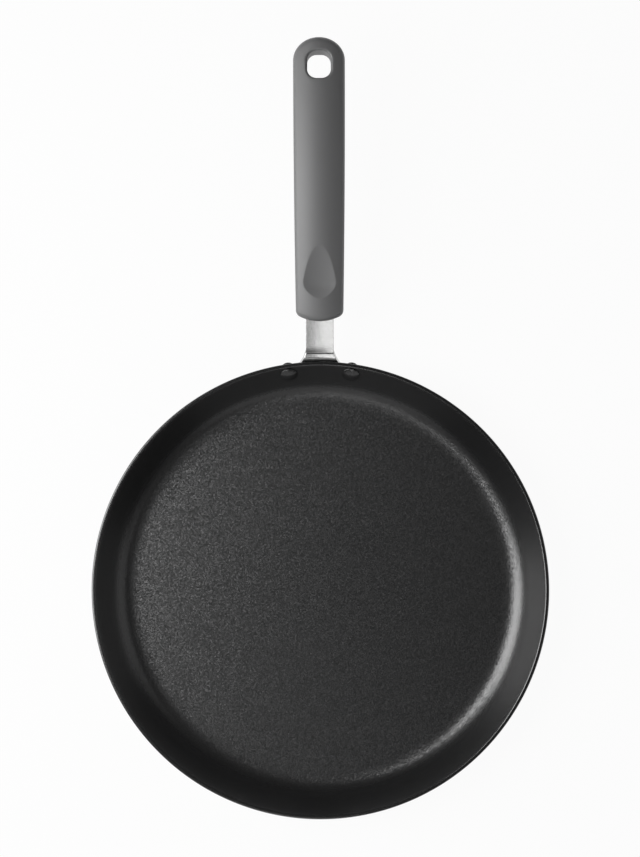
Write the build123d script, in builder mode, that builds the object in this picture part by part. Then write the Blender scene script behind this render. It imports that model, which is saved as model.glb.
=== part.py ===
from build123d import *
import os
from math import asin, cos, radians, sin, tan

os.makedirs("parts", exist_ok=True)

# Crepe pan, in millimetres.
# The origin is on the pan's axis, on the flat underside of its base.
# +Y runs out along the handle and +Z is up.

# Pan body: one pressed sheet with a low sloped wall
rim_diameter = 280.0
pan_height = 22.0
pan_sheet = 2.4
wall_angle = 50.0
floor_corner_radius = 20.0
rim_edge_radius = 0.9

# Handle bracket: one stamping that hugs the wall, bends over the rim and ends as a tang
bracket_sheet = 2.5
bracket_seat_gap = 0.1
bracket_wrap_angle = 34.0
strap_width = 16.8
strap_angle = 17.0
strap_length = 23.6
bend_past_rim = 1.9
bend_inner_radius = 0.8
flare_past_bend = 2.7
collar_width = 26.0
collar_fillet_radius = 3.5
ear_radius = 5.2
ear_below_rivet = 1.2
tang_length = 62.0
tang_corner_radius = 4.0

# Rivets: domed heads inside the pan, formed heads under the bracket
rivet_spacing = 38.6
rivet_drop = 8.7
rivet_shank_radius = 2.5
rivet_hole_clearance = 0.1
rivet_head_radius = 5.4
rivet_head_height = 1.5
rivet_head_edge = 0.35
rivet_head_gap = 0.12
rivet_tail_radius = 3.9
rivet_tail_height = 1.8
rivet_tail_edge = 0.6
rivet_tail_gap = 0.05

# Grip: an arched handle with a rigid core inside a soft sleeve
grip_length = 170.1
grip_tip_angle = -4.0
grip_above_tang = 2.4
grip_width_pan = 28.7
grip_width_tip = 30.9
grip_thickness_pan = 19.5
grip_thickness_tip = 15.0
grip_crown_radius = 31.0
grip_belly_radius = 60.0
grip_end_bulge = 4.0
grip_end_corner = 4.6
grip_tip_dome = 13.6
grip_edge_radius = 4.0
grip_slab_margin = 1.0
grip_stations = 6
sleeve_wall = 2.5
sleeve_fit = 0.2
core_edge_radius = 1.4

# Thumb dimple in the top of the sleeve, placed along the grip from its pan end
dimple_near = 15.7
dimple_deepest = 23.5
dimple_far = 47.2
dimple_depth = 2.5
dimple_floor_radius = 15.0
dimple_cross_radius = 70.0

# Hanging hole, placed back from the grip's tip
hole_to_tip = 9.2
hole_length = 16.4
hole_width = 14.1
hole_corner_radius = 5.7
hole_lip_radius = 1.4

# Screw and nut that hold the tang in the core
tang_clearance = 0.15
screw_to_tang_end = 10.0
screw_radius = 2.0
screw_hole_clearance = 0.2
screw_head_radius = 3.6
screw_head_height = 2.4
screw_head_edge = 0.6
screw_head_below_tang = 4.4
screw_head_clearance = 0.4
screw_past_nut = 0.3
drive_slot_width = 1.2
drive_slot_length = 4.2
drive_slot_depth = 1.4
nut_across_flats = 7.0
nut_thickness = 3.2
nut_clearance = 0.15
nut_seat_gap = 0.05
thread_clearance = 0.05

# One overrun for every cut that has to run past a surface
overrun = 30.0

# Directions up the sloped wall and out of it, in the upright plane through the handle
wall_up = (cos(radians(wall_angle)), sin(radians(wall_angle)))
wall_out = (sin(radians(wall_angle)), -cos(radians(wall_angle)))

# Directions along the strap and square to it, in the same plane
strap_out = (cos(radians(strap_angle)), sin(radians(strap_angle)))
strap_up = (-sin(radians(strap_angle)), cos(radians(strap_angle)))

# The wall's outer face runs up to a sharp corner, which the rounded rim edge cuts back
wall_run = 1 / tan(radians(wall_angle))
wall_width = pan_sheet / sin(radians(wall_angle))
sharp_rim_radius = rim_diameter / 2 + rim_edge_radius * (wall_run + 1 / wall_out[0] - 1)
base_corner_radius = sharp_rim_radius - pan_height * wall_run
inner_corner_radius = sharp_rim_radius - wall_width - (pan_height - pan_sheet) * wall_run


def past_rim(along, out):
    """A point `along` up the wall's slope from its sharp rim and `out` outside its face."""
    reach = sharp_rim_radius + along * wall_up[0] + out * wall_out[0]
    height = pan_height + along * wall_up[1] + out * wall_out[1]
    return reach, height


def along_strap(start, along, up):
    """A point `along` the strap from `start` and `up` square to it."""
    reach = start[0] + along * strap_out[0] + up * strap_up[0]
    height = start[1] + along * strap_out[1] + up * strap_up[1]
    return reach, height


# The strap's top face starts at the bend, and its middle meets the grip at the mouth
bend_corner = past_rim(bend_past_rim, bracket_seat_gap)
mouth = along_strap(bend_corner, strap_length, -bracket_sheet / 2)
grip_start = along_strap(mouth, 0, grip_above_tang)

# The rivets stand square to the wall, on both sides of the handle's middle plane
rivet_reach, rivet_height = past_rim(-rivet_drop, 0)
rivet_angle = asin(rivet_spacing / 2 / rivet_reach)

# The grip's middle line is an arc that starts along the strap and levels out at its tip
arch_turn = radians(strap_angle - grip_tip_angle)
arch_radius = grip_length / arch_turn
grip_chord = 2 * arch_radius * sin(arch_turn / 2)

# The screw's place along the tang, and levels square to the tang from its middle
screw_from_mouth = tang_length - screw_to_tang_end
head_seat = -bracket_sheet / 2 - screw_head_below_tang
head_hole_radius = screw_head_radius + screw_head_clearance
nut_base = bracket_sheet / 2 + nut_seat_gap
nut_top = nut_base + nut_thickness
screw_end = nut_top + screw_past_nut


def rivet_frame(side):
    """Where a rivet's axis meets the wall's outer face: its point, inward and sideways."""
    outward = Vector(side * sin(rivet_angle), cos(rivet_angle), 0)
    point = outward * rivet_reach + Vector(0, 0, rivet_height)
    inward = Vector(0, 0, -wall_out[1]) - outward * wall_out[0]
    sideways = Vector(cos(rivet_angle), -side * sin(rivet_angle), 0)
    return point, inward, sideways


def rivet_plane(side):
    """The plane that lies on the wall's outer face at a rivet."""
    point, inward, sideways = rivet_frame(side)
    return Plane(origin=point, x_dir=sideways, z_dir=inward)


def strap_plane(along, up=0):
    """The plane along the middle of the strap, `along` from the grip's mouth, raised by `up`."""
    reach, height = along_strap(mouth, along, up)
    return Plane(origin=(0, reach, height), x_dir=(1, 0, 0), z_dir=(0, *strap_up))


def arch_point(along):
    """A point and the slope of the grip's middle line, `along` from its pan end."""
    slope = radians(strap_angle) - along / arch_radius
    reach = grip_start[0] + arch_radius * (sin(radians(strap_angle)) - sin(slope))
    height = grip_start[1] + arch_radius * (cos(slope) - cos(radians(strap_angle)))
    return reach, height, slope


def section_plane(along):
    """The plane square to the grip's middle line, X sideways and Y up."""
    reach, height, slope = arch_point(along)
    back = (0, -cos(slope), -sin(slope))
    return Plane(origin=(0, reach, height), x_dir=(1, 0, 0), z_dir=back)


def top_plane(along, up=0):
    """The plane along the grip's middle line, raised by `up`, with Y towards the tip."""
    reach, height, slope = arch_point(along)
    normal = Vector(0, -sin(slope), cos(slope))
    point = Vector(0, reach, height) + normal * up
    return Plane(origin=point, x_dir=(1, 0, 0), z_dir=normal)


def chord_plane():
    """The plane square to the middle of the arch, with its origin at the pan end."""
    normal = top_plane(grip_length / 2).z_dir
    return Plane(origin=(0, *grip_start), x_dir=(1, 0, 0), z_dir=normal)


def grip_thickness(along):
    """Thickness of the grip, `along` from its pan end."""
    taper = (grip_thickness_tip - grip_thickness_pan) / grip_length
    return grip_thickness_pan + taper * along


def crown_plane(along, sink):
    """The plane that touches the grip's crown, `along` from its pan end, sunk by `sink`."""
    return top_plane(along, grip_thickness(along) / 2 - sink)


def make_grip_section(along, inset):
    """A crowned slab section, wider than the grip and drawn in by `inset` above and below."""
    half_width = grip_width_tip / 2 + grip_slab_margin - inset
    half_height = grip_thickness(along) / 2 - inset
    crown_drop = grip_crown_radius - (grip_crown_radius**2 - half_width**2) ** 0.5
    belly_rise = grip_belly_radius - (grip_belly_radius**2 - half_width**2) ** 0.5
    with BuildSketch(section_plane(along)) as section:
        with BuildLine():
            crown = ThreePointArc(
                (-half_width, half_height - crown_drop),
                (0, half_height),
                (half_width, half_height - crown_drop),
            )
            belly = ThreePointArc(
                (half_width, belly_rise - half_height),
                (0, -half_height),
                (-half_width, belly_rise - half_height),
            )
            Line(crown @ 1, belly @ 0)
            Line(belly @ 1, crown @ 0)
        make_face()
    return section.sketch


def make_hole_cutter(grow):
    """The hanging hole, `grow` larger all round, as a solid that runs past both faces."""
    middle = grip_length - hole_to_tip - hole_length / 2
    with BuildPart() as cutter:
        with BuildSketch(top_plane(middle)):
            RectangleRounded(
                hole_width + 2 * grow, hole_length + 2 * grow, hole_corner_radius + grow
            )
        extrude(amount=overrun, both=True)
    return cutter.part


def make_dimple_cutter(sink):
    """The scoop of the thumb dimple, sunk by `sink`, as a solid of revolution."""
    frame = crown_plane(dimple_deepest, sink)
    near = frame.to_local_coords(crown_plane(dimple_near, sink).origin)
    far = frame.to_local_coords(crown_plane(dimple_far, sink).origin)
    axis_height = dimple_cross_radius - dimple_depth
    with BuildPart() as cutter:
        with BuildSketch(Plane(origin=frame.origin, x_dir=frame.y_dir, z_dir=frame.x_dir)):
            with BuildLine():
                # Both straight sides run on past the crown, as far again
                scoop = FilletPolyline(
                    (2 * near.Y, 2 * near.Z + dimple_depth),
                    (0, -dimple_depth),
                    (2 * far.Y, 2 * far.Z + dimple_depth),
                    radius=dimple_floor_radius,
                )
                Polyline(
                    scoop @ 1, (2 * far.Y, axis_height), (2 * near.Y, axis_height), scoop @ 0
                )
            make_face()
        axis_point = frame.origin + frame.z_dir * axis_height
        revolve(axis=Axis(origin=axis_point, direction=frame.y_dir))
    return cutter.part


def make_slot_cutter():
    """The tang with clearance all round, as a block that runs out past the grip's mouth."""
    length = tang_length + tang_clearance
    with BuildPart() as cutter:
        with BuildSketch(strap_plane(0)):
            Rectangle(strap_width + 2 * tang_clearance, 2 * length)
        extrude(amount=bracket_sheet / 2 + tang_clearance, both=True)
    return cutter.part


def make_grip_form(inset, edge_radius):
    """The whole grip as one solid with its hole and dimple, drawn in by `inset` all round."""
    near = grip_width_pan / 2 - inset
    far = grip_width_tip / 2 - inset
    dome_start = grip_chord - grip_tip_dome
    run = grip_length + 2 * grip_edge_radius
    places = [
        index / (grip_stations - 1) * run - grip_edge_radius for index in range(grip_stations)
    ]
    with BuildPart() as form:
        loft([make_grip_section(along, inset) for along in places])
        with BuildSketch(chord_plane()):
            with BuildLine():
                EllipticalCenterArc(
                    (0, dome_start), far, grip_tip_dome - inset, start_angle=0, arc_size=180
                )
                side = TangentArc((far, dome_start), (near, grip_end_bulge), tangent=(0, -1))
                mirror(side, about=Plane.YZ)
                ThreePointArc((-near, grip_end_bulge), (0, inset), side @ 1)
            make_face()
            fillet(vertices().group_by(Axis.Y)[0], radius=grip_end_corner - inset)
        extrude(amount=overrun, both=True, mode=Mode.INTERSECT)
        upright = Axis(origin=(0, *grip_start), direction=chord_plane().z_dir)
        crown_and_belly = faces().sort_by(upright)
        fillet(crown_and_belly[-1].edges() + crown_and_belly[0].edges(), radius=edge_radius)
        add(make_dimple_cutter(inset), mode=Mode.SUBTRACT)
        add(make_hole_cutter(inset), mode=Mode.SUBTRACT)
    return form.part


def make_rivet(side):
    """A rivet through wall and bracket: domed head inside, formed head outside."""
    point, inward, sideways = rivet_frame(side)
    head_base = pan_sheet + rivet_head_gap
    tail_base = -bracket_seat_gap - bracket_sheet - rivet_tail_gap
    tail_top = tail_base - rivet_tail_height
    dome_start = head_base + rivet_head_edge
    dome_rise = rivet_head_height - rivet_head_edge
    dome_radius = (rivet_head_radius**2 + dome_rise**2) / (2 * dome_rise)
    with BuildPart() as rivet:
        with BuildSketch(Plane(origin=point, x_dir=sideways, z_dir=sideways.cross(inward))):
            with BuildLine():
                dome = RadiusArc(
                    (0, dome_start + dome_rise), (rivet_head_radius, dome_start), dome_radius
                )
                Polyline(
                    dome @ 1,
                    (rivet_head_radius, head_base),
                    (rivet_shank_radius, head_base),
                    (rivet_shank_radius, tail_base),
                    (rivet_tail_radius, tail_base),
                    (rivet_tail_radius, tail_top),
                    (0, tail_top),
                    dome @ 0,
                )
            make_face()
            fillet(vertices().group_by(Axis.Y)[0].sort_by(Axis.X)[-1], radius=rivet_tail_edge)
        revolve(axis=Axis(origin=point, direction=inward))
    return rivet.part


# Pan body: the pressed dish with a rounded rim and two rivet holes
with BuildPart() as pan_body:
    with BuildSketch(Plane.XZ):
        with BuildLine():
            outside = FilletPolyline(
                (0, 0),
                (base_corner_radius, 0),
                (sharp_rim_radius, pan_height),
                radius=floor_corner_radius + pan_sheet,
            )
            inside = FilletPolyline(
                (0, pan_sheet),
                (inner_corner_radius, pan_sheet),
                (sharp_rim_radius - wall_width, pan_height),
                radius=floor_corner_radius,
            )
            Line(outside @ 0, inside @ 0)
            Line(outside @ 1, inside @ 1)
        make_face()
        fillet(vertices().group_by(Axis.Y)[-1], radius=rim_edge_radius)
    revolve(axis=Axis.Z)
    with Locations(rivet_plane(-1), rivet_plane(1)):
        Hole(rivet_shank_radius + rivet_hole_clearance, depth=2 * pan_sheet)
pan_body.part.label = "pan_body"
export_step(pan_body.part, "parts/pan_body.step")

# Handle bracket: a bent sheet swung round the pan's axis, then trimmed to its outline
with BuildPart() as handle_bracket:
    with BuildSketch(Plane.YZ.rotated((0, 0, -bracket_wrap_angle / 2))):
        with BuildLine():
            top_face = FilletPolyline(
                past_rim(-rivet_drop - 2 * ear_radius, bracket_seat_gap),
                bend_corner,
                along_strap(bend_corner, strap_length + tang_length, 0),
                radius=bend_inner_radius + bracket_sheet,
            )
            offset(top_face, amount=bracket_sheet, side=Side.RIGHT)
        make_face()
    revolve(axis=Axis.Z, revolution_arc=bracket_wrap_angle)
    outline_plane = Plane(
        origin=(0, sharp_rim_radius, pan_height),
        x_dir=(1, 0, 0),
        z_dir=(0, -wall_out[0], -wall_out[1]),
    )
    ear = outline_plane.to_local_coords(rivet_frame(1)[0]) - Vector(0, ear_below_rivet)
    with BuildSketch(outline_plane):
        with BuildLine():
            flare = FilletPolyline(
                (strap_width / 2, strap_length + tang_length + overrun),
                (strap_width / 2, bend_past_rim + flare_past_bend),
                (collar_width / 2, ear.Y + ear_radius),
                (ear.X, ear.Y + ear_radius),
                radius=collar_fillet_radius,
            )
            ThreePointArc(
                (ear.X, ear.Y + ear_radius),
                (ear.X + ear_radius, ear.Y),
                (ear.X, ear.Y - ear_radius),
            )
            Line((ear.X, ear.Y - ear_radius), (0, ear.Y - ear_radius))
            mirror(about=Plane.YZ)
            Line(flare @ 0, (-strap_width / 2, strap_length + tang_length + overrun))
        make_face()
    extrude(amount=strap_length + tang_length, both=True, mode=Mode.INTERSECT)
    tang_corners = edges().filter_by(lambda edge: edge.length < 2 * bracket_sheet)
    fillet(tang_corners.sort_by(Axis.Y)[-2:], radius=tang_corner_radius)
    with Locations(rivet_plane(-1), rivet_plane(1)):
        Hole(rivet_shank_radius + rivet_hole_clearance, depth=2 * bracket_sheet)
    with Locations(strap_plane(screw_from_mouth)):
        Hole(screw_radius + screw_hole_clearance, depth=2 * bracket_sheet)
handle_bracket.part.label = "handle_bracket"
export_step(handle_bracket.part, "parts/handle_bracket.step")

# Rivets, one on each side of the handle
with BuildPart() as rivet_left:
    add(make_rivet(-1))
rivet_left.part.label = "rivet_left"
export_step(rivet_left.part, "parts/rivet_left.step")

with BuildPart() as rivet_right:
    add(make_rivet(1))
rivet_right.part.label = "rivet_right"
export_step(rivet_right.part, "parts/rivet_right.step")

# Grip core: slot for the tang, pocket for the nut, bore and seat for the screw
with BuildPart() as grip_core:
    add(make_grip_form(sleeve_wall + sleeve_fit, core_edge_radius))
    add(make_slot_cutter(), mode=Mode.SUBTRACT)
    with BuildSketch(strap_plane(screw_from_mouth)):
        RegularPolygon(nut_across_flats / 2 + nut_clearance, side_count=6, major_radius=False)
    extrude(amount=nut_top + nut_clearance, mode=Mode.SUBTRACT)
    with BuildSketch(strap_plane(screw_from_mouth, screw_end + nut_clearance)):
        Circle(screw_radius + screw_hole_clearance)
    extrude(amount=-overrun, mode=Mode.SUBTRACT)
    with BuildSketch(strap_plane(screw_from_mouth, head_seat)):
        Circle(head_hole_radius)
    extrude(amount=-overrun, mode=Mode.SUBTRACT)
grip_core.part.label = "grip_core"
export_step(grip_core.part, "parts/grip_core.step")

# Grip sleeve: the soft skin over the core, open at the strap, the hole and the screw
with BuildPart() as grip_sleeve:
    add(make_grip_form(0, grip_edge_radius))
    hole_frame = top_plane(grip_length - hole_to_tip - hole_length / 2)
    hole_axis = Axis(origin=hole_frame.origin, direction=hole_frame.z_dir)
    lip_edges = edges().filter_by(hole_axis, reverse=True).filter_by(
        lambda edge: (edge.center() - hole_frame.origin).cross(hole_frame.z_dir).length
        < hole_length / 2 + hole_lip_radius
    )
    fillet(lip_edges, radius=hole_lip_radius)
    add(make_grip_form(sleeve_wall, core_edge_radius + sleeve_fit), mode=Mode.SUBTRACT)
    add(make_slot_cutter(), mode=Mode.SUBTRACT)
    with BuildSketch(strap_plane(screw_from_mouth)):
        Circle(head_hole_radius)
    extrude(amount=-overrun, mode=Mode.SUBTRACT)
grip_sleeve.part.label = "grip_sleeve"
export_step(grip_sleeve.part, "parts/grip_sleeve.step")

# Grip screw, pointing up through the tang
with BuildPart() as grip_screw:
    with BuildSketch(strap_plane(screw_from_mouth, head_seat)):
        Circle(screw_head_radius)
    extrude(amount=-screw_head_height)
    screw_axis = Axis(origin=strap_plane(screw_from_mouth).origin, direction=(0, *strap_up))
    fillet(edges().sort_by(screw_axis)[0], radius=screw_head_edge)
    with BuildSketch(strap_plane(screw_from_mouth, head_seat)):
        Circle(screw_radius)
    extrude(amount=screw_end - head_seat)
    with BuildSketch(strap_plane(screw_from_mouth, head_seat - screw_head_height)):
        Rectangle(drive_slot_length, drive_slot_width)
        Rectangle(drive_slot_width, drive_slot_length)
    extrude(amount=drive_slot_depth, mode=Mode.SUBTRACT)
grip_screw.part.label = "grip_screw"
export_step(grip_screw.part, "parts/grip_screw.step")

# Grip nut, captive above the tang
with BuildPart() as grip_nut:
    with BuildSketch(strap_plane(screw_from_mouth, nut_base)):
        RegularPolygon(nut_across_flats / 2, side_count=6, major_radius=False)
        Circle(screw_radius + thread_clearance, mode=Mode.SUBTRACT)
    extrude(amount=nut_thickness)
grip_nut.part.label = "grip_nut"
export_step(grip_nut.part, "parts/grip_nut.step")
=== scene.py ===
from contextlib import contextmanager
from functools import partialmethod
from math import asin, atan2, ceil, cos, pi, radians, sin, sqrt, tan

import bmesh
import bpy
import numpy as np
from bpy.props import FloatProperty, FloatVectorProperty, IntProperty, PointerProperty
from mathutils import Matrix, Vector
from mathutils.geometry import delaunay_2d_cdt


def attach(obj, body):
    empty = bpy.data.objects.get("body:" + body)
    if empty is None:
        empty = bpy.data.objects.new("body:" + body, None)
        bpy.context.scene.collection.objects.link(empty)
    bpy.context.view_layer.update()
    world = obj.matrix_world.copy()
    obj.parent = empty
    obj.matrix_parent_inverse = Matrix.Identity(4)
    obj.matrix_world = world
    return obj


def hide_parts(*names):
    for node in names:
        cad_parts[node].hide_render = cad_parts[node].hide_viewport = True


bl_info = {
    "name": "Crepe Pan",
    "version": (1, 0, 0),
    "blender": (4, 5, 0),
    "location": "View3D > Sidebar > Crepe Pan",
    "description": "Makes a crepe pan with a riveted strap and a soft-touch grip",
    "category": "Add Mesh",
}

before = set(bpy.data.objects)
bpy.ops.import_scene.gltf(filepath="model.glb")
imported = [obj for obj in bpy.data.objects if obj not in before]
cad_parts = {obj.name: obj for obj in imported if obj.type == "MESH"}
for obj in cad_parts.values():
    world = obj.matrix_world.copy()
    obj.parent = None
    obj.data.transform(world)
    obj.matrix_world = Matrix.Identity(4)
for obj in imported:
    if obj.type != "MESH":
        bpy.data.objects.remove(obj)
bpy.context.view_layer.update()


# Sizes and colours that a user can change


def number(name, description, default, **limits):
    """A plain number."""
    return FloatProperty(name=name, description=description, default=default, **limits)


def share(name, description, default):
    """A number from 0 to 1."""
    return number(name, description, default, min=0.0, max=1.0)


def length(name, description, default):
    """A size in metres."""
    return number(name, description, default, precision=5, subtype="DISTANCE", unit="LENGTH")


def angle(name, description, degrees):
    """An angle, given in degrees."""
    return number(name, description, radians(degrees), subtype="ANGLE", unit="ROTATION")


def vector(name, description, default, **limits):
    """Three numbers."""
    return FloatVectorProperty(name=name, description=description, default=default, **limits)


def point(name, description, default):
    """A place in metres."""
    return vector(name, description, default, precision=5, subtype="XYZ", unit="LENGTH")


def colour(name, description, default):
    """A linear colour."""
    return vector(name, description, default, min=0.0, max=1.0, subtype="COLOR")


class PanDishSettings(bpy.types.PropertyGroup):
    """Sizes and finish of the pressed dish."""

    rim_radius: length("Rim radius", "Radius of the wall's outer face at the rim's height", 0.14103)
    height: length("Height", "Height of the rim over the base", 0.022)
    sheet: length("Sheet", "Thickness of the pressed sheet", 0.0024)
    wall_angle: angle("Wall angle", "Slope of the wall", 50.0)
    corner_radius: length("Corner radius", "Outer radius between base and wall", 0.0224)
    corner_floor: length("Corner on the floor", "Reach of the inner corner over the floor", 0.0120)
    corner_wall: length("Corner on the wall", "Reach of the inner corner up the wall", 0.0225)
    corner_outset: length("Corner outset", "From the wall's line out to the corner's foot", 0.0009)
    rim_edge: length("Rim edge", "Rounding of the rim's two edges", 0.0009)
    segments: IntProperty(name="Segments", description="Faces round the dish", default=288, min=24)
    coat_colour: colour("Coat colour", "Colour of the non-stick coat", (0.006, 0.006, 0.0062))
    fleck_colour: colour("Fleck colour", "Colour of the fine flecks", (0.045, 0.045, 0.046))
    coat_roughness: share("Coat roughness", "Roughness of the coat on the floor", 0.335)
    wall_roughness: share("Wall roughness", "Roughness of the coat on the wall", 0.24)
    speckle: share("Speckle", "How far the tiny grains that make the floor's speckle lean", 0.19)


class PanRivetSettings(bpy.types.PropertyGroup):
    """Sizes and places of the two rivets."""

    spacing: length("Spacing", "Distance between the two rivets", 0.0386)
    reach: length("Reach", "From the pan's axis to the rivets, on the wall's outer face", 0.135438)
    height: length("Height", "Height of the rivets on the wall's outer face", 0.015335)
    head_base: length("Head base", "From the wall's outer face to the head's underside", 0.00252)
    head_radius: length("Head radius", "Radius of the domed head inside the pan", 0.0054)
    head_edge: length("Head edge", "Straight edge under the dome", 0.00035)
    head_height: length("Head height", "Height of the domed head", 0.0015)
    shank_radius: length("Shank radius", "Radius of the shank", 0.0025)
    tail_base: length("Tail base", "From the wall's outer face out to the formed head", 0.00265)
    tail_radius: length("Tail radius", "Radius of the formed head under the bracket", 0.0039)
    tail_height: length("Tail height", "Height of the formed head", 0.0018)
    tail_edge: length("Tail edge", "Rounding of the formed head", 0.0006)


class PanStrapSettings(bpy.types.PropertyGroup):
    """Finish of the stamped steel bracket, with its painted shade beside the crease."""

    edge: length("Edge", "Rounding of the stamped edges", 0.00025)
    steel_colour: colour("Steel colour", "Colour of the satin steel", (0.66, 0.66, 0.655))
    steel_roughness: share("Steel roughness", "Roughness of the satin steel", 0.21)
    hollow_radius: length("Hollow radius", "Radius of the slight hollow across the strap", 0.20)
    hollow_reach: length("Hollow reach", "How far the hollow reaches from the middle", 0.0085)
    unevenness: length("Unevenness", "Height of the stamped steel's slow waves", 0.00005)
    crease_place: length("Crease place", "Where the strap is creased by its bend", 0.1455)
    crease_depth: length("Crease depth", "Depth of that crease", 0.00014)
    # Painted shade: the strap's colour is made darker beside the crease, more so on the left.
    bend_shade: share("Bend mark", "How much the steel is dulled beside the crease", 0.62)


class PanGripSettings(bpy.types.PropertyGroup):
    """Sizes and finish of the grip's soft sleeve."""

    start: point("Start", "Where the grip's middle line starts", (0.0, 0.164561, 0.031391))
    mouth: point("Mouth", "Middle of the strap where it enters the grip", (0.0, 0.165262, 0.029096))
    start_angle: angle("Start angle", "Slope of the strap and of the grip's start", 17.0)
    tip_angle: angle("Tip angle", "Slope of the grip's tip", -4.0)
    length: length("Length", "Length of the grip along its arch", 0.1701)
    width_pan: length("Width at the pan", "Width of the grip at its pan end", 0.0287)
    width_tip: length("Width at the tip", "Width where the grip's tip starts to round", 0.0309)
    thickness_pan: length("Thickness at the pan", "Thickness of the grip at its pan end", 0.0195)
    thickness_tip: length("Thickness at the tip", "Thickness of the grip at its tip", 0.015)
    crown_radius: length("Crown radius", "Radius across the top", 0.031)
    belly_radius: length("Belly radius", "Radius across the belly", 0.060)
    end_bulge: length("End bulge", "How far the pan end bulges out", 0.0040)
    end_corner: length("End corner", "Radius of the pan end's corners", 0.0046)
    tip_dome: length("Tip dome", "Length of the rounded tip", 0.0136)
    edge_radius: length("Edge radius", "Rounding of the long edges", 0.004)
    wall: length("Wall", "Thickness of the sleeve", 0.0025)
    inner_edge: length("Inner edge", "Rounding of the long edges inside the sleeve", 0.0016)
    dimple_near: length("Dimple near", "Where the thumb dimple starts", 0.0157)
    dimple_deepest: length("Dimple deepest", "Where the thumb dimple is deepest", 0.0235)
    dimple_far: length("Dimple far", "Where the thumb dimple ends", 0.0472)
    dimple_depth: length("Dimple depth", "Depth of the dimple before its floor is rounded", 0.0025)
    dimple_floor: length("Dimple floor", "Rounding of the dimple's floor along the grip", 0.015)
    dimple_radius: length("Dimple radius", "Radius across the thumb dimple", 0.070)
    dimple_edge: length("Dimple edge", "Softness of the thumb dimple's edge", 0.00012)
    hole_to_tip: length("Hole to tip", "From the hanging hole to the tip", 0.0092)
    hole_length: length("Hole length", "Length of the hanging hole", 0.0164)
    hole_width: length("Hole width", "Width of the hanging hole", 0.0141)
    hole_corner: length("Hole corner", "Radius of the hanging hole's corners", 0.0057)
    hole_lip: length("Hole lip", "Rounding of the hanging hole's edges", 0.0014)
    slot_width: length("Slot width", "Width of the slot for the strap", 0.0171)
    slot_height: length("Slot height", "Height of the slot for the strap", 0.0028)
    screw_place: length("Screw place", "From the mouth to the screw", 0.052)
    screw_opening: length("Screw opening", "Radius of the opening for the screw", 0.004)
    screw_lip: length("Screw lip", "Rounding of the screw's opening", 0.0006)
    spacing: length("Mesh spacing", "Distance between the points of the sleeve's mesh", 0.0008)
    grip_colour: colour("Grip colour", "Colour of the soft sleeve", (0.145, 0.145, 0.147))
    grip_roughness: share("Grip roughness", "Roughness of the soft sleeve", 0.53)
    core_colour: colour("Core colour", "Colour of the moulded core", (0.045, 0.045, 0.046))


class PanStageSettings(bpy.types.PropertyGroup):
    """Camera, floor and lights."""

    camera_height: length("Camera height", "Height of the camera over the base", 1.272)
    camera_reach: length("Camera reach", "Place of the camera along the handle", 0.0991)
    camera_roll: angle("Camera roll", "Turn of the camera about its own line of sight", -0.16)
    lens: number("Lens", "Focal length in millimetres", 85.89)
    key_power: number("Key power", "Watts of the key light", 9.3)
    fill_power: number("Fill power", "Watts of the fill light", 0.35)
    card_power: number("Card power", "Watts of the narrow light for the steel", 4.3)
    front_power: number("Front power", "Watts of the low wide light", 2.9)
    sky_level: share("Sky level", "Brightness of the room overhead", 0.06)
    floor_level: share("Floor level", "Brightness of the floor", 0.80)


# Node and mesh helpers

WELD = 0.000001  # points nearer to each other than this are made one


class Value:
    """A node's output. Arithmetic with it adds math nodes to its tree."""

    def __init__(self, node, output=0):
        self.tree = node.id_data
        self.socket = node.outputs[output]

    def combined(self, operation, other):
        return calc(operation, self, other)

    __add__ = partialmethod(combined, "ADD")
    __sub__ = partialmethod(combined, "SUBTRACT")
    __mul__ = partialmethod(combined, "MULTIPLY")
    __truediv__ = partialmethod(combined, "DIVIDE")
    __pow__ = partialmethod(combined, "POWER")

    def __rsub__(self, other):
        return calc("SUBTRACT", other, self)

    def __rtruediv__(self, other):
        return calc("DIVIDE", other, self)

    def ramp(self, source, target, kind="SMOOTHSTEP"):
        """The range `source` turned into the range `target`, and held at its ends."""
        values = dict(enumerate((self, *source, *target)))
        return Value(wire(self.tree, "ShaderNodeMapRange", values, interpolation_type=kind))


def calc(operation, *values):
    """The result of one math node. At least one of its values is a Value."""
    tree = next(value.tree for value in values if isinstance(value, Value))
    return Value(wire(tree, "ShaderNodeMath", dict(enumerate(values)), operation=operation))


def fill(node, inputs):
    """Sets a node's inputs, or links them. A node given as a value means its first output."""
    for key, value in inputs.items():
        if isinstance(value, bpy.types.Node):
            value = value.outputs[0]
        if isinstance(value, Value):
            value = value.socket
        if isinstance(value, bpy.types.NodeSocket):
            node.id_data.links.new(value, node.inputs[key])
        else:
            node.inputs[key].default_value = value


def wire(tree, kind, inputs=None, **settings):
    """A new node with its own settings and its inputs filled."""
    node = tree.nodes.new(kind)
    for name, value in settings.items():
        setattr(node, name, value)
    fill(node, inputs or {})
    return node


def new_group(name, kind, inputs, outputs):
    """A node group, its inputs by label, and its output node.

    Sockets are given as label and kind, and an input may have a default as well.
    """
    tree = bpy.data.node_groups.new(name, kind)
    for in_out, sockets in (("INPUT", inputs), ("OUTPUT", outputs)):
        for label, socket_kind, *default in sockets:
            socket_type = "NodeSocket" + socket_kind
            socket = tree.interface.new_socket(name=label, in_out=in_out, socket_type=socket_type)
            if default:
                socket.default_value = default[0]
    entry = tree.nodes.new("NodeGroupInput")
    given = {label: Value(entry, label) for label, *_ in inputs}
    return tree, given, tree.nodes.new("NodeGroupOutput")


def grown_mesh(name, tree, values):
    """The plain mesh that a Geometry Nodes tree makes from its named inputs."""
    seed = helper_object(name + "_seed", bpy.data.meshes.new(name + "_seed"))
    modifier = seed.modifiers.new("Form", "NODES")
    modifier.node_group = tree
    for item in tree.interface.items_tree:
        if item.in_out == "INPUT" and item.name in values:
            modifier[item.identifier] = values[item.name]
    return plain_mesh(name, seed)


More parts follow.
